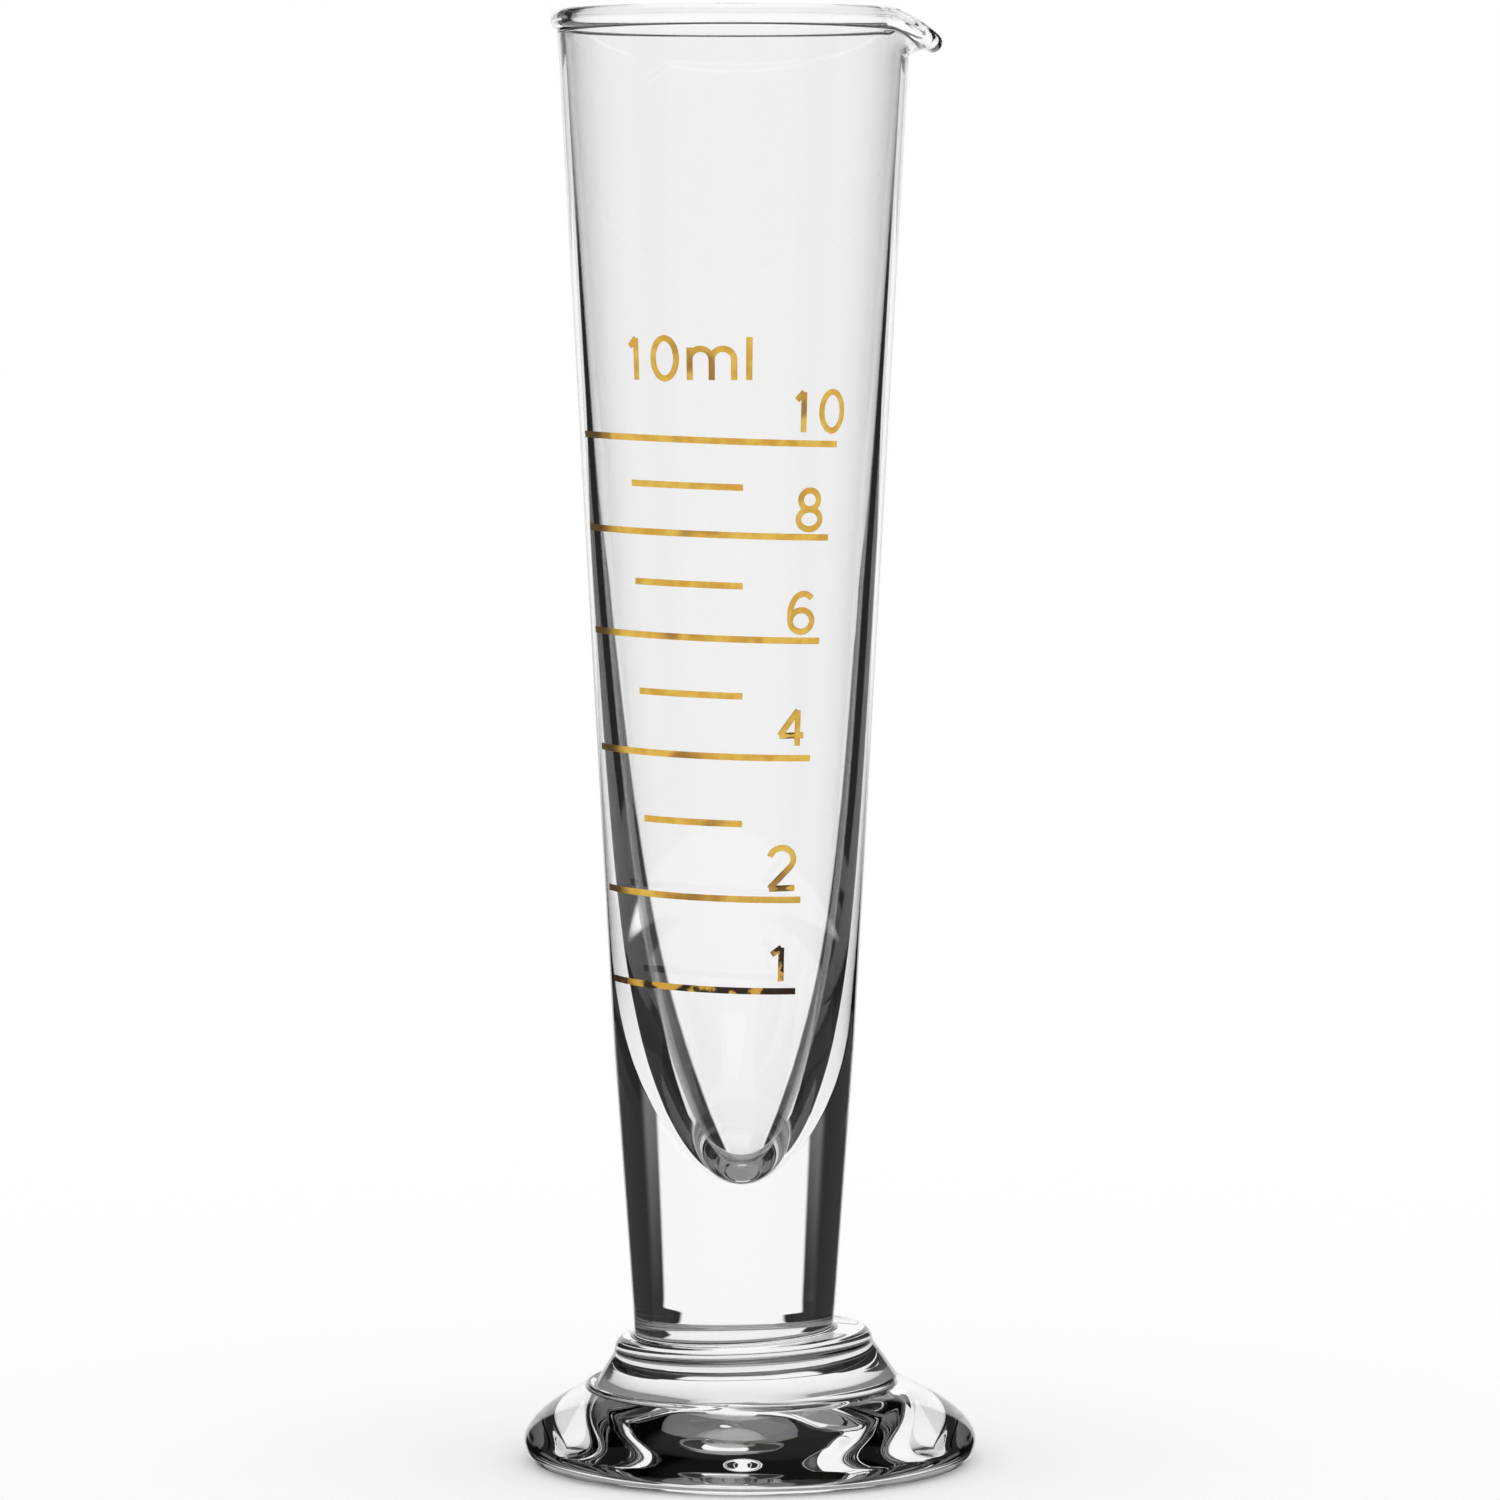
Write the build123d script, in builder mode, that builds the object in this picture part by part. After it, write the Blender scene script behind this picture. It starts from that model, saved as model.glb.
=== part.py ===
from build123d import *
import math
import os

# Conical measuring glass: a tapered bowl on a solid stem, fused to a pressed foot
# Millimetres, +Z up, origin at the centre of the foot's underside
# The graduated face looks towards -Y and the pouring lip points to +X

# Vessel, with heights above the table
total_height = 104.0
cavity_bottom = 20.4
stem_top = 29.8
bowl_top_radius = 12.63
stem_top_radius = 8.63
stem_end_radius = 7.16

# Cavity: a parabolic nose that eases into an even taper up to the rim
nose_radius = 4.05
nose_fullness = 3.14
inner_taper = 0.069
rim_wall = 0.5
nose_facets = 4
ease_facets = 5
ease_reach = 3.6

# Rim bead, and the pouring lip that is drawn out of it
bead_radius = 0.72
bead_facets = 6
rim_zone = 3.3
lip_reach = 1.8
lip_drop = 1.6
lip_slope = 15.0
lip_half_angle = 28.0
lip_sections = 15

# Foot: a shoulder that swells to a rounded edge, and a pressed hollow underneath
foot_radius = 16.3
foot_widest_height = 1.6
resting_radius = 14.9
shoulder_radius = 11.5
shoulder_height = 5.5
shoulder_bend_radius = 15.95
shoulder_bend_height = 3.45
shoulder_facets = 3
edge_facets = 3
recess_radius = 12.1
recess_roof_radius = 10.0
recess_depth = 1.05

# Collar of the foot, which carries the stem
joint_height = 9.3
crown_radius = 8.25
crown_side_radius = 9.35
crown_side_drop = 1.15
waist_radius = 10.85
waist_drop = 3.45
waist_depth = 0.85
crown_facets = 1
collar_shift = 0.5
collar_tilt = 2.4
stem_shift = 1.15

# Fired enamel graduations, with angles about the bowl's axis from the front
capacity_ml = 10
mark_width = 0.46
mark_thickness = 0.08
mark_tilt = 2.0
long_mark_start = -72.0
long_mark_end_low = 29.0
long_mark_end_high = 41.0
short_mark_start = -41.0
short_mark_end = 3.5

cubic_mm_per_ml = 1000.0
ring_height = 0.02
weld_tolerance = 0.0001

os.makedirs("parts", exist_ok=True)

# Outer wall: one straight taper for the stem and one for the bowl
wall_slope = (bowl_top_radius - stem_top_radius) / (total_height - stem_top)
stem_slope = (stem_top_radius - stem_end_radius) / (stem_top - joint_height)
zone_height = total_height - rim_zone


def outer_radius(height):
    slope = wall_slope if height > stem_top else stem_slope
    return stem_top_radius + (height - stem_top) * slope


# Inner wall: the nose's slope at its top sets how fast the bowl eases into its taper
zone_inner_radius = outer_radius(zone_height) - rim_wall
nose_top = cavity_bottom + nose_radius**2 / nose_fullness
nose_slope = nose_fullness / (2 * nose_radius)
taper_gap = zone_inner_radius - inner_taper * (zone_height - nose_top) - nose_radius
ease_height = taper_gap / (nose_slope - inner_taper)


def inner_radius(height):
    if height < nose_top:
        return math.sqrt(nose_fullness * max(height - cavity_bottom, 0))
    taper_radius = zone_inner_radius - inner_taper * (zone_height - height)
    return taper_radius - taper_gap * math.exp((nose_top - height) / ease_height)


def polar_point(centre, radius, angle):
    turn = math.radians(angle)
    return (centre[0] + radius * math.cos(turn), centre[1] + radius * math.sin(turn))


def bend_points(start, bend, end, facets):
    """Points on the smooth curve from start to end that leaves and arrives towards bend."""
    points = []
    for step in range(facets + 1):
        t = step / facets
        points.append(
            tuple((1 - t) ** 2 * a + 2 * t * (1 - t) * b + t**2 * c for a, b, c in zip(start, bend, end))
        )
    return points


def cavity_points():
    """Inside of the bowl from its lowest point to the foot of the rim zone."""
    heights = []
    for step in range(nose_facets + 1):
        heights.append(cavity_bottom + (nose_radius * step / nose_facets) ** 2 / nose_fullness)
    for step in range(1, ease_facets + 1):
        heights.append(nose_top + ease_height * ease_reach * (step / ease_facets) ** 2)
    points = [(inner_radius(height), height) for height in heights]
    return points + [(zone_inner_radius, zone_height)]


def rim_edges(push):
    """Wall and bead above the rim zone's foot. push is 0 on the plain rim and 1 at the lip's tip."""
    upright = 90 - math.degrees(math.atan(wall_slope))
    lean = upright - push * (upright - lip_slope)
    bead_height = total_height - bead_radius
    plain_radius = outer_radius(bead_height) - rim_wall / 2
    centre = (plain_radius + push * lip_reach, bead_height - push * lip_drop)
    grip = math.degrees(math.asin(rim_wall / 2 / bead_radius))
    heading = polar_point((0, 0), 1, lean)
    bead_points = []
    for step in range(bead_facets + 1):
        turn = (360 - 2 * grip) * step / bead_facets
        bead_points.append(polar_point(centre, bead_radius, lean - 180 + grip + turn))
    Spline(
        (outer_radius(zone_height), zone_height),
        bead_points[0],
        tangents=((wall_slope, 1), heading),
    )
    Polyline(bead_points)
    Spline(
        bead_points[-1],
        (zone_inner_radius, zone_height),
        tangents=((-heading[0], -heading[1]), (-inner_taper, -1)),
    )


def radial_plane(angle):
    """Upright plane through the vessel's axis. Angle 0 faces the lip."""
    turn = math.radians(angle)
    return Plane(
        origin=(-stem_shift, 0, 0),
        x_dir=(math.cos(turn), math.sin(turn), 0),
        z_dir=(math.sin(turn), -math.cos(turn), 0),
    )


def fill_heights():
    """Heights at which the cavity holds each whole millilitre, found by adding thin rings."""
    heights = []
    held = 0.0
    low = cavity_bottom
    while len(heights) < capacity_ml and low < zone_height:
        radius = inner_radius(low + ring_height / 2)
        ring_volume = math.pi * radius**2 * ring_height
        wanted = cubic_mm_per_ml * (len(heights) + 1)
        if held + ring_volume >= wanted:
            heights.append(low + ring_height * (wanted - held) / ring_volume)
        held += ring_volume
        low += ring_height
    return heights


# The collar leans a little on the foot, and the stem stands on the collar's flat crown
tilt = math.radians(collar_tilt)
collar_across = (math.cos(tilt), 0, math.sin(tilt))
collar_up = (-math.sin(tilt), 0, math.cos(tilt))
collar_seat = (-collar_shift, 0, joint_height)
joint_plane = Plane(origin=collar_seat, x_dir=collar_across, z_dir=collar_up)
collar_plane = Plane(origin=collar_seat, x_dir=collar_across, z_dir=(0, -1, 0))
vessel_axis = Axis((-stem_shift, 0, 0), (0, 0, 1))

# Bowl, solid stem and plain rim in one turn, with the rim left out where the lip goes
with BuildPart() as bowl:
    with BuildSketch(radial_plane(0)):
        stem_bottom = joint_height - foot_radius * math.tan(tilt)
        with BuildLine():
            Polyline(cavity_points())
            rim_edges(0)
            Polyline(
                (outer_radius(zone_height), zone_height),
                (stem_top_radius, stem_top),
                (outer_radius(stem_bottom), stem_bottom),
                (0, stem_bottom),
                (0, cavity_bottom),
            )
        make_face()
    revolve(axis=vessel_axis)
    split(bisect_by=joint_plane, keep=Keep.TOP)
    with BuildSketch(Plane.XY.offset(zone_height)):
        with BuildLine():
            hub = (-stem_shift, 0)
            beyond = 2 * (outer_radius(total_height) + bead_radius)
            first = polar_point(hub, beyond, -lip_half_angle)
            last = polar_point(hub, beyond, lip_half_angle)
            Line(hub, first)
            ThreePointArc(first, polar_point(hub, beyond, 0), last)
            Line(last, hub)
        make_face()
    extrude(amount=2 * rim_zone, mode=Mode.SUBTRACT)

# Lip: the rim's own section drawn out and down, most at its middle, round the missing part
with BuildPart() as lip:
    for section in range(lip_sections):
        share = 2 * section / (lip_sections - 1) - 1
        push = math.cos(math.pi / 2 * share) ** 2
        with BuildSketch(radial_plane(share * lip_half_angle)):
            with BuildLine():
                rim_edges(push)
                Line((zone_inner_radius, zone_height), (outer_radius(zone_height), zone_height))
            make_face()
    loft()

# Bowl and lip are one glass, and meet along lines that agree within the tolerance
vessel = bowl.part.fuse(lip.part, tol=weld_tolerance)
vessel.label = "vessel"
export_step(vessel, "parts/vessel.step")

# Foot: pressed disc, the collar on its shoulder, and the hollow that leaves a resting ring
with BuildPart() as foot:
    with BuildSketch(Plane.XZ):
        with BuildLine():
            widest = (foot_radius, foot_widest_height)
            shoulder = (shoulder_radius, shoulder_height)
            bend = (shoulder_bend_radius, shoulder_bend_height)
            Line((0, shoulder_height), shoulder)
            Polyline(bend_points(shoulder, bend, widest, shoulder_facets))
            Polyline(bend_points(widest, (foot_radius, 0), (resting_radius, 0), edge_facets))
            Polyline(
                (resting_radius, 0),
                (recess_radius, 0),
                (recess_roof_radius, recess_depth),
                (0, recess_depth),
                (0, shoulder_height),
            )
        make_face()
    revolve(axis=Axis.Z)
    with BuildSketch(collar_plane):
        with BuildLine():
            crown = (crown_radius, 0)
            crown_side = (crown_side_radius, -crown_side_drop)
            waist = (waist_radius, -waist_drop)
            root_drop = joint_height - shoulder_height + waist_depth
            Line((0, 0), crown)
            Polyline(bend_points(crown, (crown_side_radius, 0), crown_side, crown_facets))
            Polyline(crown_side, waist, (waist_radius, -root_drop), (0, -root_drop), (0, 0))
        make_face()
    revolve(axis=Axis(collar_seat, collar_up))
foot.part.label = "foot"
export_step(foot.part, "parts/foot.step")

# Fired enamel marks: a thin skin on the bowl, cut to a level band that lies a little askew
skew = math.radians(mark_tilt)
band_up = (math.sin(skew), 0, math.cos(skew))
front = -90
for count, height in enumerate(fill_heights(), start=1):
    is_long = count == 1 or count % 2 == 0
    upper_share = (count - 1) / (capacity_ml - 1)
    long_mark_end = long_mark_end_low + (long_mark_end_high - long_mark_end_low) * upper_share
    start = long_mark_start if is_long else short_mark_start
    end = long_mark_end if is_long else short_mark_end
    reach = mark_width / 2 + outer_radius(height) * math.tan(skew)
    with BuildPart() as mark:
        with BuildSketch(radial_plane(front + start)):
            with BuildLine():
                Polyline(
                    (outer_radius(height - reach) - mark_thickness, height - reach),
                    (outer_radius(height - reach) + mark_thickness, height - reach),
                    (outer_radius(height + reach) + mark_thickness, height + reach),
                    (outer_radius(height + reach) - mark_thickness, height + reach),
                    close=True,
                )
            make_face()
        revolve(axis=vessel_axis, revolution_arc=end - start)
        for side, keep in ((1, Keep.BOTTOM), (-1, Keep.TOP)):
            edge_point = (-stem_shift, 0, height + side * mark_width / 2)
            split(bisect_by=Plane(origin=edge_point, z_dir=band_up), keep=keep)
        add(vessel, mode=Mode.SUBTRACT)
    name = f"graduation_{count:02d}_ml"
    mark.part.label = name
    export_step(mark.part, f"parts/{name}.step")
    print(name, "at", round(height, 2), "mm, from", round(start), "to", round(end), "degrees")
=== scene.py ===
import math

import bpy
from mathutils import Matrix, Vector


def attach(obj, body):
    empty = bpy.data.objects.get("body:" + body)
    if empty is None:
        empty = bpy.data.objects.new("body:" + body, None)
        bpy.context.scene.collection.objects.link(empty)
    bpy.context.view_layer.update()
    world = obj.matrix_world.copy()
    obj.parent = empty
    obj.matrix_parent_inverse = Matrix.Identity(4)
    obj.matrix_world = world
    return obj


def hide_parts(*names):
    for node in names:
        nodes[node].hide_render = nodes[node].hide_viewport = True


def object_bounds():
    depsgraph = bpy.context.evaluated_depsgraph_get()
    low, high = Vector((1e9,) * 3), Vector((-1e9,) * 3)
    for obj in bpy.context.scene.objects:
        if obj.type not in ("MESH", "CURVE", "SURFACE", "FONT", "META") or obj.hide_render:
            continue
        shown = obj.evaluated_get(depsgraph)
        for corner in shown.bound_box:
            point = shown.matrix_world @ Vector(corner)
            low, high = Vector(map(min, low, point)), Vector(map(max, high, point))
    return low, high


# Small conical measuring glass: clear blown vessel on a pressed foot, amber fired graduations
# Metres, +Z up, the graduated face looks towards -Y and the pouring lip points to +X

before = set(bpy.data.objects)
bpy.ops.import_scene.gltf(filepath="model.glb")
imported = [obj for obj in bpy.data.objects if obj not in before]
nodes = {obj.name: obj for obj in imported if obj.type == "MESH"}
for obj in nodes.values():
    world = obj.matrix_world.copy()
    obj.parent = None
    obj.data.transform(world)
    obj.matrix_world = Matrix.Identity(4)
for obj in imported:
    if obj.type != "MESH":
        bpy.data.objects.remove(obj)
cadLow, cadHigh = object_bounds()
mm = 0.001
print("frame loaded:", len(nodes), "nodes")

# Places shared by the vessel and the foot, as in the part's own frame
stand = {
    "vesselAxis": -1.15 * mm,     # the stem stands a little off the foot's centre
    "collarAxis": -0.5 * mm,
    "jointHeight": 9.3 * mm,
    "collarTilt": math.radians(2.4),
    "jointRadius": 7.5 * mm,
    "steps": 192,                 # columns round the axis
}
weldDistance = 0.001 * mm
slack = 0.01 * mm                 # room for rounding where vertices are picked by place


# Modelling helpers

def deselectAll():
    if bpy.context.object and bpy.context.object.mode != "OBJECT":
        bpy.ops.object.mode_set(mode="OBJECT")
    bpy.ops.object.select_all(action="DESELECT")


def activate(piece):
    deselectAll()
    piece.select_set(True)
    bpy.context.view_layer.objects.active = piece


def selectVertices(piece, wanted):
    # leaves the piece in edit mode with just the wanted vertices picked
    activate(piece)
    bpy.ops.object.mode_set(mode="EDIT")
    bpy.ops.mesh.select_mode(type="VERT")
    bpy.ops.mesh.select_all(action="DESELECT")
    bpy.ops.object.mode_set(mode="OBJECT")
    for vertex in piece.data.vertices:
        vertex.select = wanted(vertex.co)
    bpy.ops.object.mode_set(mode="EDIT")


def setOrigin(piece):
    # the piece sits at the world origin with its place in its mesh
    activate(piece)
    bpy.ops.object.transform_apply(location=True, rotation=True, scale=True)


def drawLine(name, points):
    # one point drawn out along the line; the new piece stays in edit mode
    deselectAll()
    bpy.ops.mesh.primitive_plane_add(size=mm, location=points[0])
    piece = bpy.context.object
    piece.name = piece.data.name = name
    bpy.ops.object.mode_set(mode="EDIT")
    bpy.ops.mesh.merge(type="CENTER")
    for point, nextPoint in zip(points, points[1:]):
        move = tuple(b - a for a, b in zip(point, nextPoint))
        bpy.ops.mesh.extrude_vertices_move(TRANSFORM_OT_translate={"value": move})
    bpy.ops.mesh.select_all(action="SELECT")
    return piece


def turnProfile(name, profile, axisX):
    # the profile is spun all the way round
    piece = drawLine(name, [(axisX + radius, 0, height) for radius, height in profile])
    bpy.ops.mesh.spin(
        steps=stand["steps"],
        angle=2 * math.pi,
        center=(axisX, 0, 0),
        axis=(0, 0, 1),
    )
    bpy.ops.mesh.select_all(action="SELECT")
    bpy.ops.mesh.remove_doubles(threshold=weldDistance)
    bpy.ops.mesh.normals_make_consistent(inside=False)
    setOrigin(piece)
    bpy.ops.object.shade_smooth()
    return piece


def weightGroup(piece, name, weightOf):
    group = piece.vertex_groups.new(name=name)
    for vertex in piece.data.vertices:
        weight = weightOf(vertex.co)
        if weight > 0:
            group.add([vertex.index], weight, "REPLACE")


def pushGroup(piece, groupName, direction, strength, texture=None, middle=0.0):
    # moves the weighted part of the piece along one axis, evenly or by a texture
    activate(piece)
    push = piece.modifiers.new(groupName, "DISPLACE")
    push.vertex_group = groupName
    push.direction = direction
    push.strength = strength
    push.mid_level = middle
    if texture:
        push.texture = texture
        push.texture_coords = "LOCAL"
    bpy.ops.object.modifier_apply(modifier=push.name)


def tiltRings(piece, wanted):
    # the joint's rings lean with the collar
    selectVertices(piece, wanted)
    bpy.ops.transform.rotate(
        value=stand["collarTilt"],
        orient_axis="Y",
        center_override=(stand["collarAxis"], 0, stand["jointHeight"]),
    )
    bpy.ops.object.mode_set(mode="OBJECT")


def bendPoints(start, bend, end, count):
    # smooth curve from start to end that leaves and arrives towards bend
    points = []
    for step in range(count + 1):
        t = step / count
        weights = ((1 - t) ** 2, 2 * t * (1 - t), t**2)
        points.append(
            tuple(
                weights[0] * a + weights[1] * b + weights[2] * c
                for a, b, c in zip(start, bend, end)
            )
        )
    return points


def straightPoints(start, end, count):
    points = []
    for step in range(count + 1):
        t = step / count
        points.append(tuple((1 - t) * a + t * b for a, b in zip(start, end)))
    return points


# Shader helpers: a wrapped socket that takes plain sums

class Wire:
    def __init__(self, graph, socket):
        self.graph = graph
        self.socket = socket

    def __add__(self, other):
        return self.graph.maths("ADD", self, other)

    def __radd__(self, other):
        return self.graph.maths("ADD", other, self)

    def __sub__(self, other):
        return self.graph.maths("SUBTRACT", self, other)

    def __rsub__(self, other):
        return self.graph.maths("SUBTRACT", other, self)

    def __mul__(self, other):
        return self.graph.maths("MULTIPLY", self, other)

    def __pow__(self, other):
        return self.graph.maths("POWER", self, other)

    def __abs__(self):
        return self.graph.maths("ABSOLUTE", self)

    def ramp(self, start, end):
        # 0 before start, 1 after end, eased in between; start may be above end
        return self.graph.add(
            "ShaderNodeMapRange",
            {"interpolation_type": "SMOOTHSTEP"},
            {"Value": self, "From Min": start, "From Max": end},
        )


class Graph:
    def __init__(self, tree):
        self.tree = tree
        tree.nodes.clear()

    def add(self, kind, settings=None, values=None, out=0):
        node = self.tree.nodes.new(kind)
        for key, value in (settings or {}).items():
            setattr(node, key, value)
        for key, value in (values or {}).items():
            if isinstance(value, Wire):
                self.tree.links.new(value.socket, node.inputs[key])
            else:
                node.inputs[key].default_value = value
        return Wire(self, node.outputs[out]) if len(node.outputs) else None

    def maths(self, operation, *values):
        return self.add("ShaderNodeMath", {"operation": operation}, dict(enumerate(values)))

    def mixColour(self, factor, first, second):
        return self.add(
            "ShaderNodeMix",
            {"data_type": "RGBA"},
            {"Factor": factor, 6: first, 7: second},
            out=2,
        )

    def noise(self, place, scale, detail):
        return self.add(
            "ShaderNodeTexNoise", {}, {"Vector": place, "Scale": scale, "Detail": detail}
        )

    def bump(self, height, strength, depth):
        return self.add(
            "ShaderNodeBump", {}, {"Strength": strength, "Distance": depth, "Height": height}
        )

    def facing(self):
        # 0 where light meets the surface square on, 1 where it grazes
        return self.add("ShaderNodeLayerWeight", {}, {"Blend": 0.5}, out="Facing")

    def place(self):
        return self.add("ShaderNodeTexCoord", out="Object")

    def split(self, vector):
        node = self.tree.nodes.new("ShaderNodeSeparateXYZ")
        self.tree.links.new(vector.socket, node.inputs[0])
        return [Wire(self, socket) for socket in node.outputs]

    def bearing(self, x, y):
        # degrees to either side of straight back
        return abs(self.maths("DEGREES", self.maths("ARCTAN2", x, y)))

    def rays(self):
        # which kind of ray asks; glass is 1 for rays that come through or off the glass
        path = self.tree.nodes.new("ShaderNodeLightPath")
        through = Wire(self, path.outputs["Is Transmission Ray"])
        shine = Wire(self, path.outputs["Is Glossy Ray"])
        seen = Wire(self, path.outputs["Is Camera Ray"])
        return {"glass": (through + shine).ramp(0, 1), "shine": shine, "seen": seen}


def newMaterial(name):
    material = bpy.data.materials.new(name)
    material.use_nodes = True
    return material, Graph(material.node_tree)


# Materials

white = (1, 1, 1, 1)
glassLook = {
    "edge": (0.18, 0.19, 0.19, 1),    # painted shade: glass met nearly edge on is tinted grey, standing in for the dark room seen past its edges
    "paintedEdgeShadeStart": 0.80,
    "paintedEdgeShadeEnd": 1.0,
    "ior": 1.517,
    "rippleDetail": 1.0,
}


def makeGlass(name, rippleScale, rippleStrength, rippleDepth):
    material, graph = newMaterial(name)
    # painted shade: the base colour greys where the surface is met edge on, standing in for the
    # dark surroundings the glass shows there
    edge = graph.facing().ramp(glassLook["paintedEdgeShadeStart"], glassLook["paintedEdgeShadeEnd"])
    ripple = graph.noise(graph.place(), rippleScale, glassLook["rippleDetail"])
    glass = graph.add(
        "ShaderNodeBsdfPrincipled",
        {},
        {
            "Base Color": graph.mixColour(edge, white, glassLook["edge"]),
            "Roughness": 0.0,
            "IOR": glassLook["ior"],
            "Transmission Weight": 1.0,
            "Normal": graph.bump(ripple, rippleStrength, rippleDepth),
        },
    )
    graph.add("ShaderNodeOutputMaterial", {}, {"Surface": glass})
    return material


def makeJoint():
    # the two pieces are fused, so light crosses the joint as if it weren't there
    material, graph = newMaterial("fused_joint")
    clear = graph.add("ShaderNodeBsdfTransparent", {}, {"Color": white})
    graph.add("ShaderNodeOutputMaterial", {}, {"Surface": clear})
    return material


enamelLook = {
    "amber": (0.66, 0.36, 0.035, 1),
    "honey": (0.78, 0.50, 0.07, 1),
    "burnt": (0.24, 0.10, 0.02, 1),
    "dark": (0.035, 0.015, 0.008, 1),
    "mottleScale": 900.0,
    "mottleDetail": 3.0,
    "mottleRange": (0.35, 0.65),
    "patchScale": 260.0,
    "patchDetail": 2.0,
    "burntRange": (0.56, 0.70),
    "burntShare": 0.7,
    "lowRange": (42 * mm, 39 * mm),   # the lowest mark is dark in spots
    "lowMottle": (0.42, 0.52),
    "paintedShadeRange": (math.radians(-48), math.radians(-62)),
    "paintedShadeShare": 0.9,                 # the left ends of the long ones are darkened all over as painted shade, for the dark glass seen through the amber there
    "roughness": 0.32,
    "grainStrength": 0.4,
    "grainDepth": 0.03 * mm,
}


def makeEnamel():
    look = enamelLook
    material, graph = newMaterial("amber_fired_enamel")
    place = graph.place()
    fine = graph.noise(place, look["mottleScale"], look["mottleDetail"])
    patch = graph.noise(place, look["patchScale"], look["patchDetail"])
    x, y, z = graph.split(place)
    # painted shade: the left ends of the marks are darkened, standing in for the dark glass seen
    # through the amber there
    paintedLeftShade = graph.maths("ARCTAN2", x - stand["vesselAxis"], 0 - y).ramp(*look["paintedShadeRange"])
    low = z.ramp(*look["lowRange"]) * fine.ramp(*look["lowMottle"])
    burnt = patch.ramp(*look["burntRange"]) * look["burntShare"]
    colour = graph.mixColour(fine.ramp(*look["mottleRange"]), look["amber"], look["honey"])
    colour = graph.mixColour(burnt, colour, look["burnt"])
    colour = graph.mixColour(low, colour, look["dark"])
    colour = graph.mixColour(paintedLeftShade * look["paintedShadeShare"], colour, look["dark"])
    skin = graph.add(
        "ShaderNodeBsdfPrincipled",
        {},
        {
            "Base Color": colour,
            "Roughness": look["roughness"],
            "Normal": graph.bump(fine, look["grainStrength"], look["grainDepth"]),
        },
    )
    graph.add("ShaderNodeOutputMaterial", {}, {"Surface": skin})
    return material


vesselGlass = makeGlass("clear_blown_glass", 60.0, 0.05, 0.05 * mm)
footGlass = makeGlass("clear_pressed_glass", 180.0, 0.15, 0.1 * mm)
jointGlass = makeJoint()
enamel = makeEnamel()
print("materials made")


def dressGlass(piece, glass, isJoint):
    # the faces where vessel and foot meet take the joint's material
    piece.data.materials.append(glass)
    piece.data.materials.append(jointGlass)
    for face in piece.data.polygons:
        if isJoint(face):
            face.material_index = 1


# Vessel: cavity, beaded rim with its drawn lip, tapered bowl, solid stem

vessel = {
    "topHeight": cadHigh.z,
    "cavityBottom": 20.4 * mm,
    "stemTop": 29.8 * mm,
    "bowlTopRadius": 12.63 * mm,
    "stemTopRadius": 8.63 * mm,
    "stemEndRadius": 7.16 * mm,
    "noseRadius": 4.05 * mm,
    "noseFullness": 3.14 * mm,
    "innerTaper": 0.069,
    "rimWall": 0.5 * mm,
    "beadRadius": 0.72 * mm,
    "rimZone": 3.3 * mm,
    "lipReach": 1.8 * mm,
    "lipDrop": 1.6 * mm,
    "lipSlope": math.radians(15),
    "lipHalfAngle": math.radians(28),
    "neckSlope": 0.054,           # of the wall just below the bead
    "cavityShift": 0.36 * mm,     # the cavity's nose lies a little towards the lip
    "shiftTop": 62.0 * mm,
    "filletHeight": 0.45 * mm,
    "filletLift": 0.05 * mm,
    "jointFacing": -0.99,
    "jointReach": 0.4 * mm,
    "wallStations": 44,
    "noseStations": 26,
    "beadStations": 26,
    "zoneStations": 8,
    "stemStations": 12,
    "filletStations": 6,
}


def vesselOuter(height):
    if height > vessel["stemTop"]:
        widening = vessel["bowlTopRadius"] - vessel["stemTopRadius"]
        slope = widening / (vessel["topHeight"] - vessel["stemTop"])
    else:
        widening = vessel["stemTopRadius"] - vessel["stemEndRadius"]
        slope = widening / (vessel["stemTop"] - stand["jointHeight"])
    return vessel["stemTopRadius"] + (height - vessel["stemTop"]) * slope


# The rim zone reaches from here up; the bead's centre runs round inside it
rim = {
    "zoneHeight": vessel["topHeight"] - vessel["rimZone"],
    "beadHeight": vessel["topHeight"] - vessel["beadRadius"],
}
rim["beadCentre"] = vesselOuter(rim["beadHeight"]) - vessel["rimWall"] / 2


def outerPoints(start, end, count):
    points = []
    for step in range(1, count + 1):
        height = start + (end - start) * step / count
        points.append((vesselOuter(height), height))
    return points


def cavityPoints(top):
    # parabolic nose that eases into the even taper of the bowl
    noseTop = vessel["cavityBottom"] + vessel["noseRadius"] ** 2 / vessel["noseFullness"]
    noseSlope = vessel["noseFullness"] / (2 * vessel["noseRadius"])
    topRadius = vesselOuter(top) - vessel["rimWall"]
    gap = topRadius - vessel["innerTaper"] * (top - noseTop) - vessel["noseRadius"]
    ease = gap / (noseSlope - vessel["innerTaper"])
    points = []
    for step in range(vessel["noseStations"] + 1):
        radius = vessel["noseRadius"] * step / vessel["noseStations"]
        points.append((radius, vessel["cavityBottom"] + radius**2 / vessel["noseFullness"]))
    for step in range(1, vessel["wallStations"] + 1):
        height = noseTop + (top - noseTop) * step / vessel["wallStations"]
        radius = topRadius - vessel["innerTaper"] * (top - height)
        points.append((radius - gap * math.exp((noseTop - height) / ease), height))
    return points


def beadPoints():
    # once round the rim's bead, from the inner side of its neck to the outer
    grip = math.asin(vessel["rimWall"] / 2 / vessel["beadRadius"])
    sweep = 2 * math.pi - 2 * grip
    points = []
    for step in range(vessel["beadStations"] + 1):
        turn = -math.pi / 2 - grip - sweep * step / vessel["beadStations"]
        points.append(
            (
                rim["beadCentre"] + vessel["beadRadius"] * math.cos(turn),
                rim["beadHeight"] + vessel["beadRadius"] * math.sin(turn),
            )
        )
    return points


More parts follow.
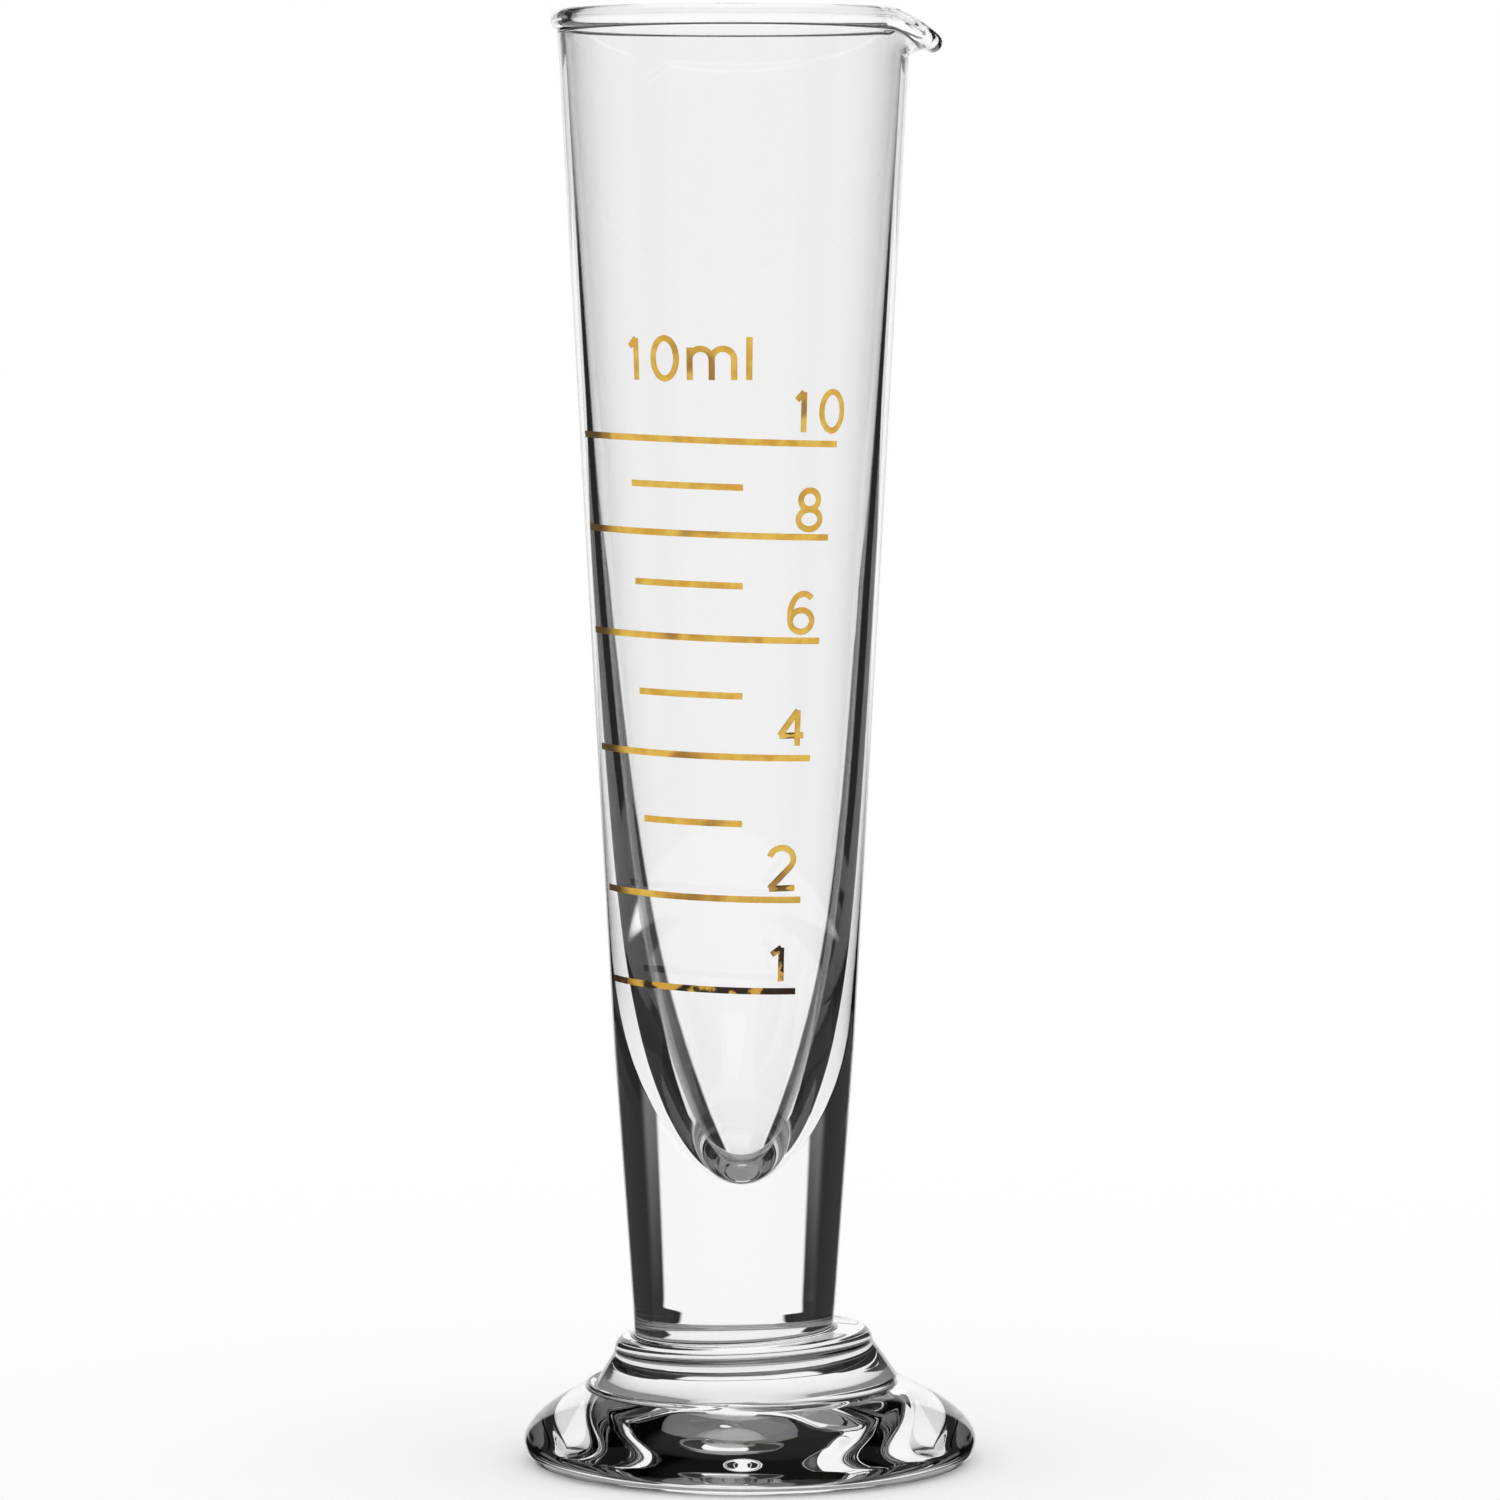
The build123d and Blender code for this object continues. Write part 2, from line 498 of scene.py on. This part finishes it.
def vesselProfile():
    zoneHeight = rim["zoneHeight"]
    zoneFoot = (vesselOuter(zoneHeight), zoneHeight)
    bead = beadPoints()
    neck = bead[0][1]
    inner = cavityPoints(zoneHeight)
    count = vessel["zoneStations"]
    innerZone = straightPoints(inner[-1], (bead[0][0], neck), count)[1:-1]
    outerZone = straightPoints((bead[-1][0], neck), zoneFoot, count)[1:]
    filletTop = stand["jointHeight"] + vessel["filletHeight"]
    outer = outerPoints(zoneHeight, vessel["stemTop"], vessel["wallStations"])
    outer += outerPoints(vessel["stemTop"], filletTop, vessel["stemStations"])
    corner = (vesselOuter(filletTop), stand["jointHeight"] + vessel["filletLift"])
    joint = (stand["jointRadius"], stand["jointHeight"])
    fillet = bendPoints(outer[-1], corner, joint, vessel["filletStations"])[1:]
    return inner + innerZone + bead + outerZone + outer + fillet + [(0, stand["jointHeight"])]


def lipPlace(place):
    # the rim is drawn out, let down and rolled over round the lip
    away = Vector((place.x - stand["vesselAxis"], place.y))
    turn = math.atan2(away.y, away.x) / vessel["lipHalfAngle"]
    zoneHeight = rim["zoneHeight"]
    beadHeight = rim["beadHeight"]
    neckDrop = math.sqrt(vessel["beadRadius"] ** 2 - (vessel["rimWall"] / 2) ** 2)
    neckHeight = beadHeight - neckDrop
    if abs(turn) >= 1 or place.z <= zoneHeight:
        return place
    share = math.cos(math.pi / 2 * turn) ** 2
    rise = min((place.z - zoneHeight) / (neckHeight - zoneHeight), 1)
    roll = share * (math.pi / 2 - vessel["lipSlope"])
    if rise < 1:
        # the wall below the bead follows the bead's neck
        wall = rim["beadCentre"] + (place.z - beadHeight) * vessel["neckSlope"]
        across, up = away.length - wall, neckHeight - beadHeight
    else:
        across, up = away.length - rim["beadCentre"], place.z - beadHeight
    newAcross = across * math.cos(roll) + up * math.sin(roll)
    newUp = up * math.cos(roll) - across * math.sin(roll)
    out = (newAcross - across + share * vessel["lipReach"]) * rise**2
    down = (newUp - up - share * vessel["lipDrop"]) * rise
    away *= (away.length + out) / away.length
    return Vector((stand["vesselAxis"] + away.x, away.y, place.z + down))


def cavityLean(place):
    # 1 at the cavity's lowest point, 0 from shiftTop up and on the outer wall
    radius = math.hypot(place.x - stand["vesselAxis"], place.y)
    middle = vesselOuter(place.z) - vessel["rimWall"] / 2
    if place.z < vessel["cavityBottom"] - slack or radius > middle:
        return 0
    reach = vessel["shiftTop"] - vessel["cavityBottom"]
    return min(max((vessel["shiftTop"] - place.z) / reach, 0), 1)


def buildVessel():
    piece = turnProfile("vessel_glass", vesselProfile(), stand["vesselAxis"])
    weightGroup(piece, "cavity", cavityLean)
    pushGroup(piece, "cavity", "X", vessel["cavityShift"])
    for vertex in piece.data.vertices:
        vertex.co = lipPlace(vertex.co)
    filletTop = stand["jointHeight"] + vessel["filletHeight"] + slack
    tiltRings(piece, lambda place: place.z < filletTop)
    jointTop = stand["jointHeight"] + vessel["jointReach"]
    dressGlass(
        piece,
        vesselGlass,
        lambda face: face.normal.z < vessel["jointFacing"] and face.center.z < jointTop,
    )
    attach(piece, "root")
    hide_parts("vessel")
    return piece


vesselPiece = buildVessel()
print("vessel turned:", len(vesselPiece.data.polygons), "faces")


# Foot: tilted collar on a swelling disc, with a pressed hollow underneath

foot = {
    "radius": cadHigh.y,
    "widestHeight": 1.6 * mm,
    "restingRadius": 14.9 * mm,
    "shoulderRadius": 11.5 * mm,
    "shoulderHeight": 5.5 * mm,
    "bendRadius": 15.95 * mm,
    "bendHeight": 3.45 * mm,
    "recessRadius": 12.1 * mm,
    "recessBendRadius": 10.4 * mm,
    "roofRadius": 10.0 * mm,
    "roofRound": 1.0 * mm,
    "recessDepth": 1.05 * mm,
    "crownRadius": 8.25 * mm,
    "crownSideRadius": 9.35 * mm,
    "crownSideDrop": 1.15 * mm,
    "crownRound": 0.1 * mm,
    "waistRadius": 10.85 * mm,
    "waistDrop": 3.45 * mm,
    "waistRound": (0.15 * mm, 0.1 * mm),
    "tiltStart": 0.2 * mm,        # over the shoulder, where the collar's lean begins
    "waveScale": 9.0 * mm,
    "waveDepth": 0.9 * mm,
    "jointFacing": 0.9,
    "jointFloor": 9.0 * mm,
    "seatStations": 3,
    "crownStations": 8,
    "sideStations": 5,
    "shoulderStations": 20,
    "edgeStations": 12,
    "ringStations": 4,
}


def footProfile():
    top = stand["jointHeight"]
    depth = foot["recessDepth"]
    joint = (stand["jointRadius"], top)
    crown = (foot["crownRadius"], top)
    crownBend = (foot["crownSideRadius"] - foot["crownRound"], top)
    crownSide = (foot["crownSideRadius"], top - foot["crownSideDrop"])
    waist = (foot["waistRadius"], top - foot["waistDrop"])
    shoulder = (foot["shoulderRadius"], foot["shoulderHeight"])
    waistBend = (waist[0] + foot["waistRound"][0], shoulder[1] + foot["waistRound"][1])
    shoulderBend = (foot["bendRadius"], foot["bendHeight"])
    widest = (foot["radius"], foot["widestHeight"])
    resting = (foot["restingRadius"], 0)
    recess = (foot["recessRadius"], 0)
    recessBend = (foot["recessBendRadius"], depth)
    roof = (foot["roofRadius"] - foot["roofRound"], depth)
    side = foot["sideStations"]
    edge = foot["edgeStations"]
    points = [(0, top), joint]
    points += straightPoints(joint, crown, foot["seatStations"])[1:]
    points += bendPoints(crown, crownBend, crownSide, foot["crownStations"])[1:]
    points += straightPoints(crownSide, waist, side)[1:]
    points += bendPoints(waist, waistBend, shoulder, side)[1:]
    points += bendPoints(shoulder, shoulderBend, widest, foot["shoulderStations"])[1:]
    points += bendPoints(widest, (foot["radius"], 0), resting, edge)[1:]
    points += straightPoints(resting, recess, foot["ringStations"])[1:]
    points += bendPoints(recess, recessBend, roof, edge)[1:]
    for step in range(1, edge + 1):
        points.append((roof[0] * (1 - step / edge), depth))
    return points


def undersideWeight(place):
    reach = math.hypot(place.x, place.y) / foot["roofRadius"]
    if place.z > foot["recessDepth"] + slack or reach > 1:
        return 0
    return 1 - reach**4


def buildFoot():
    piece = turnProfile("foot_glass", footProfile(), stand["collarAxis"])
    centre = stand["collarAxis"]
    # the disc moves to the foot's centre, and the joint's ring to the stem's
    discTop = foot["shoulderHeight"] + slack
    selectVertices(piece, lambda place: place.z < discTop)
    bpy.ops.transform.translate(value=(-centre, 0, 0))
    jointRadius = stand["jointRadius"] + slack
    selectVertices(
        piece,
        lambda place: place.z > stand["jointHeight"] - slack
        and math.hypot(place.x - centre, place.y) < jointRadius,
    )
    bpy.ops.transform.translate(value=(stand["vesselAxis"] - centre, 0, 0))
    tiltRings(piece, lambda place: place.z > foot["shoulderHeight"] + foot["tiltStart"])
    wave = bpy.data.textures.new("pressedWave", "CLOUDS")
    wave.noise_scale = foot["waveScale"]
    wave.noise_depth = 1
    weightGroup(piece, "underside", undersideWeight)
    pushGroup(piece, "underside", "Z", foot["waveDepth"], wave, 0.5)
    dressGlass(
        piece,
        footGlass,
        lambda face: face.normal.z > foot["jointFacing"]
        and face.center.z > foot["jointFloor"]
        and math.hypot(face.center.x - stand["vesselAxis"], face.center.y) < stand["jointRadius"],
    )
    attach(piece, "root")
    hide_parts("foot")
    return piece


footPiece = buildFoot()
print("foot pressed:", len(footPiece.data.polygons), "faces")


# Graduations keep their solids and take the fired enamel

graduations = [node for name, node in nodes.items() if name.startswith("graduation")]
for node in graduations:
    node.data.materials.clear()
    node.data.materials.append(enamel)
print("graduations fired:", len(graduations))


# Printed figures are drawn with strokes, as a pen would; a figure is one unit high

def arcPoints(centre, radii, start, end, count=20):
    points = []
    for step in range(count + 1):
        turn = math.radians(start + (end - start) * step / count)
        along = centre[0] + radii[0] * math.cos(turn)
        points.append((along, centre[1] + radii[1] * math.sin(turn)))
    return points


# width, gap to the next figure, strokes; a stroke ends at each sharp corner
penFigures = {
    "0": (0.64, 0.17, [arcPoints((0.32, 0.5), (0.26, 0.44), 0, 360, 32)]),
    "1": (0.27, 0.30, [[(0.05, 0.76), (0.21, 0.94)], [(0.21, 0.94), (0.21, 0.03)]]),
    "2": (
        0.58,
        0.20,
        [
            arcPoints((0.29, 0.69), (0.22, 0.25), 165, -42) + [(0.07, 0.06)],
            [(0.07, 0.06), (0.54, 0.06)],
        ],
    ),
    "4": (
        0.62,
        0.20,
        [
            [(0.45, 0.03), (0.45, 0.92)],
            [(0.45, 0.92), (0.05, 0.29)],
            [(0.05, 0.29), (0.59, 0.29)],
        ],
    ),
    "6": (
        0.58,
        0.20,
        [
            arcPoints((0.29, 0.31), (0.23, 0.25), 0, 360, 32),
            arcPoints((0.33, 0.48), (0.27, 0.46), 50, 180) + [(0.06, 0.31)],
        ],
    ),
    "8": (
        0.58,
        0.20,
        [
            arcPoints((0.29, 0.725), (0.185, 0.215), 0, 360, 28),
            arcPoints((0.29, 0.285), (0.23, 0.225), 0, 360, 28),
        ],
    ),
    "m": (
        1.04,
        0.19,
        [
            [(0.06, 0.03), (0.06, 0.74)],
            arcPoints((0.29, 0.48), (0.23, 0.23), 180, 0, 14) + [(0.52, 0.03)],
            arcPoints((0.75, 0.48), (0.23, 0.23), 180, 0, 14) + [(0.98, 0.03)],
        ],
    ),
    "l": (0.12, 0.0, [[(0.06, 0.03), (0.06, 0.97)]]),
}
pen = {"stroke": 0.44 * mm, "thickness": 0.09 * mm, "roundness": 3}

# text, left edge in degrees from the front, foot of the figure, width along the wall, height
figures = {
    "figure_10": ("10", 22.6, 74.10 * mm, 4.17 * mm, 3.09 * mm),
    "figure_8": ("8", 23.9, 67.20 * mm, 2.20 * mm, 3.10 * mm),
    "figure_6": ("6", 21.4, 60.00 * mm, 2.15 * mm, 3.03 * mm),
    "figure_4": ("4", 18.1, 52.05 * mm, 2.10 * mm, 2.83 * mm),
    "figure_2": ("2", 13.8, 41.85 * mm, 2.36 * mm, 3.27 * mm),
    "figure_1": ("1", 15.8, 35.35 * mm, 1.20 * mm, 2.64 * mm),
    "unit_ml": ("10ml", -40.8, 77.76 * mm, 9.29 * mm, 3.21 * mm),
}


def drawStrokes(name, text, width, height):
    # flat lines for the whole text, joined in one piece
    units = sum(penFigures[sign][0] + penFigures[sign][1] for sign in text)
    units -= penFigures[text[-1]][1]
    strokes = []
    along = 0
    for sign in text:
        signWidth, gap, lines = penFigures[sign]
        for line in lines:
            points = [((along + x) * width / units, y * height, 0) for x, y in line]
            stroke = drawLine(name, points)
            bpy.ops.mesh.remove_doubles(threshold=weldDistance)
            setOrigin(stroke)
            strokes.append(stroke)
        along += signWidth + gap
    activate(strokes[0])
    for stroke in strokes:
        stroke.select_set(True)
    if len(strokes) > 1:
        bpy.ops.object.join()


def buildFigure(name, text, leftAngle, baseHeight, width, height):
    drawStrokes(name, text, width, height)
    bpy.ops.object.convert(target="CURVE")
    line = bpy.context.object
    line.data.bevel_depth = pen["stroke"] / 2
    line.data.bevel_resolution = pen["roundness"]
    line.data.use_fill_caps = True
    bpy.ops.object.convert(target="MESH")
    piece = bpy.context.object
    piece.name = piece.data.name = name
    flat = pen["thickness"] / pen["stroke"]
    bpy.ops.object.mode_set(mode="EDIT")
    bpy.ops.mesh.select_all(action="SELECT")
    bpy.ops.transform.resize(value=(1, 1, flat), center_override=(0, 0, 0))
    bpy.ops.mesh.normals_make_consistent(inside=False)
    bpy.ops.object.mode_set(mode="OBJECT")
    # the flat print is rolled on to the cone, face side out
    for vertex in piece.data.vertices:
        z = baseHeight + vertex.co.y
        radius = vesselOuter(z) + vertex.co.z
        turn = math.radians(leftAngle) + vertex.co.x / vesselOuter(baseHeight)
        x = stand["vesselAxis"] + radius * math.sin(turn)
        vertex.co = (x, -radius * math.cos(turn), z)
    bpy.ops.object.shade_smooth()
    piece.data.materials.append(enamel)
    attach(piece, "root")


for name, (text, leftAngle, baseHeight, width, height) in figures.items():
    buildFigure(name, text, leftAngle, baseHeight, width, height)
print("figures printed:", len(figures))


# Stage: white paper behind the glass on a polished floor. The polish shows only to light that
# comes through or off the glass, and Layer Weight sets how much of it mirrors the dark room

floorLook = {
    "size": 12.0,
    "cells": 8,
    "drop": 0.03 * mm,
    "white": (0.93, 0.93, 0.93, 1),
    "lift": 0.12,
    "paperHalf": 18.4,        # degrees each side of the middle that the paper reaches
    "paperWide": 29.0,        # and for the level light that leaves the stem
    "paperFade": 2.5,
    "wideSlope": 5.5,
    "polishNear": 23.5,       # below this slope in degrees the bare floor mirrors the room
    "polishFar": 18.0,
    "polishNearEnd": 0.095,
    "polishFarStart": 0.118,
    "slopeFade": 1.0,
    "polishHeight": 0.041,    # beside the foot it does so for light from below this height
    "heightFade": 0.003,
    "besideStart": 0.020,
    "besideStartFade": 0.004,
    "besideMiddle": 43.0,     # degrees to the back and to the front of straight aside
    "besideHalf": 26.0,
    "besideFade": 3.0,
}


def bareShare(graph):
    # 1 where the floor mirrors the room, 0 where it shows paper
    look = floorLook
    x, y, z = graph.split(graph.place())
    bearing = graph.bearing(x, y)
    away = (x * x + y * y) ** 0.5
    sine = 1 - graph.facing()
    slope = graph.maths("DEGREES", graph.maths("ARCSINE", sine))
    wide = slope.ramp(look["wideSlope"], look["wideSlope"] - look["slopeFade"])
    reach = look["paperHalf"] + wide * (look["paperWide"] - look["paperHalf"])
    bare = (bearing - reach).ramp(0, look["paperFade"])
    far = away.ramp(look["polishNearEnd"], look["polishFarStart"])
    limit = look["polishNear"] - far * (look["polishNear"] - look["polishFar"])
    shallow = (slope - limit).ramp(look["slopeFade"], 0)
    startHeight = graph.maths("TANGENT", graph.maths("RADIANS", slope)) * away
    low = startHeight.ramp(look["polishHeight"], look["polishHeight"] - look["heightFade"])
    aside = abs(abs(bearing - 90) - look["besideMiddle"])
    beside = aside.ramp(look["besideHalf"] + look["besideFade"], look["besideHalf"])
    clearOfFoot = away.ramp(look["besideStart"] - look["besideStartFade"], look["besideStart"])
    low = low * beside * clearOfFoot
    return bare * (shallow + (1 - shallow) * low)


def makeFloor():
    look = floorLook
    deselectAll()
    bpy.ops.mesh.primitive_grid_add(
        x_subdivisions=look["cells"],
        y_subdivisions=look["cells"],
        size=look["size"],
        location=(0, 0, -look["drop"]),
    )
    floor = bpy.context.object
    floor.name = "floor"
    material, graph = newMaterial("pale_floor")
    paper = graph.add("ShaderNodeBsdfDiffuse", {}, {"Color": look["white"]})
    glow = graph.add("ShaderNodeEmission", {}, {"Color": white, "Strength": look["lift"]})
    lit = graph.add("ShaderNodeAddShader", {}, {0: paper, 1: glow})
    polish = graph.add("ShaderNodeBsdfGlossy", {}, {"Color": white, "Roughness": 0.0})
    share = bareShare(graph) * graph.rays()["glass"]
    surface = graph.add("ShaderNodeMixShader", {}, {0: share, 1: lit, 2: polish})
    graph.add("ShaderNodeOutputMaterial", {}, {"Surface": surface})
    floor.data.materials.append(material)


# The room that glass shows: bright panels in a dark room, with angles in degrees
room = {
    "backHalf": 18.4,         # each side of the bright panel behind the glass
    "sideHalf": 16.0,
    "frontStart": 125.0,      # from here round to the front the room is bright
    "frontFade": 15.0,
    "panelFade": 2.5,
    "panelTop": 58.0,
    "topFade": 8.0,
    "hazeEnd": 37.0,          # grey haze beside the back panel, low over the floor
    "hazeFade": 5.0,
    "hazeRise": (3.5, 1.0),
    "hazeLevel": 0.20,
    "overheadLevel": 0.35,
    "shineLevel": 0.15,       # share of the side and front panels that reflections show
    "shadeLevel": 0.02,
    "ambient": 0.95,          # level of the light on the paper and the enamel
}


def makeSurroundings():
    world = bpy.data.worlds.new("studio")
    bpy.context.scene.world = world
    world.use_nodes = True
    graph = Graph(world.node_tree)
    x, y, z = graph.split(graph.add("ShaderNodeTexCoord", out="Generated"))
    bearing = graph.bearing(x, y)
    rise = graph.maths("DEGREES", graph.maths("ARCSINE", z))
    fade = room["panelFade"]
    back = bearing.ramp(room["backHalf"] + fade, room["backHalf"])
    side = abs(bearing - 90).ramp(room["sideHalf"] + fade, room["sideHalf"])
    front = bearing.ramp(room["frontStart"], room["frontStart"] + room["frontFade"])
    rays = graph.rays()
    forward = (side + front) * (1 - rays["shine"] * (1 - room["shineLevel"]))
    overhead = rise.ramp(room["panelTop"], room["panelTop"] + room["topFade"])
    panel = (back + forward) * (1 - overhead)
    haze = bearing.ramp(room["hazeEnd"] + room["hazeFade"], room["hazeEnd"])
    haze = haze * rise.ramp(*room["hazeRise"])
    dark = haze * (room["hazeLevel"] - room["shadeLevel"]) + room["shadeLevel"]
    level = panel + (1 - panel) * (dark + overhead * room["overheadLevel"])
    plain = rays["seen"] + (1 - rays["seen"]) * room["ambient"]
    strength = level * rays["glass"] + (1 - rays["glass"]) * plain
    background = graph.add("ShaderNodeBackground", {}, {"Color": white, "Strength": strength})
    graph.add("ShaderNodeOutputWorld", {}, {"Surface": background})


makeFloor()
makeSurroundings()
print("stage set")


# Camera at the photograph's viewing angle

view = {
    "distance": 480.6 * mm,
    "eyeHeight": 84.6 * mm,
    "pitch": 3.9725,
    "focalPixels": 6720.9,
    "imagePixels": 1500,
    "sensor": 36.0,
    "clipStart": 0.01,
    "clipEnd": 50,
}
bpy.ops.object.camera_add(
    location=(0, -view["distance"], view["eyeHeight"]),
    rotation=(math.radians(90 - view["pitch"]), 0, 0),
)
camera = bpy.context.object
camera.data.sensor_width = view["sensor"]
camera.data.lens = view["focalPixels"] / view["imagePixels"] * view["sensor"]
camera.data.clip_start = view["clipStart"]
camera.data.clip_end = view["clipEnd"]
bpy.context.scene.camera = camera
bpy.context.scene.view_settings.view_transform = "Standard"
print("camera placed")

print("finished")
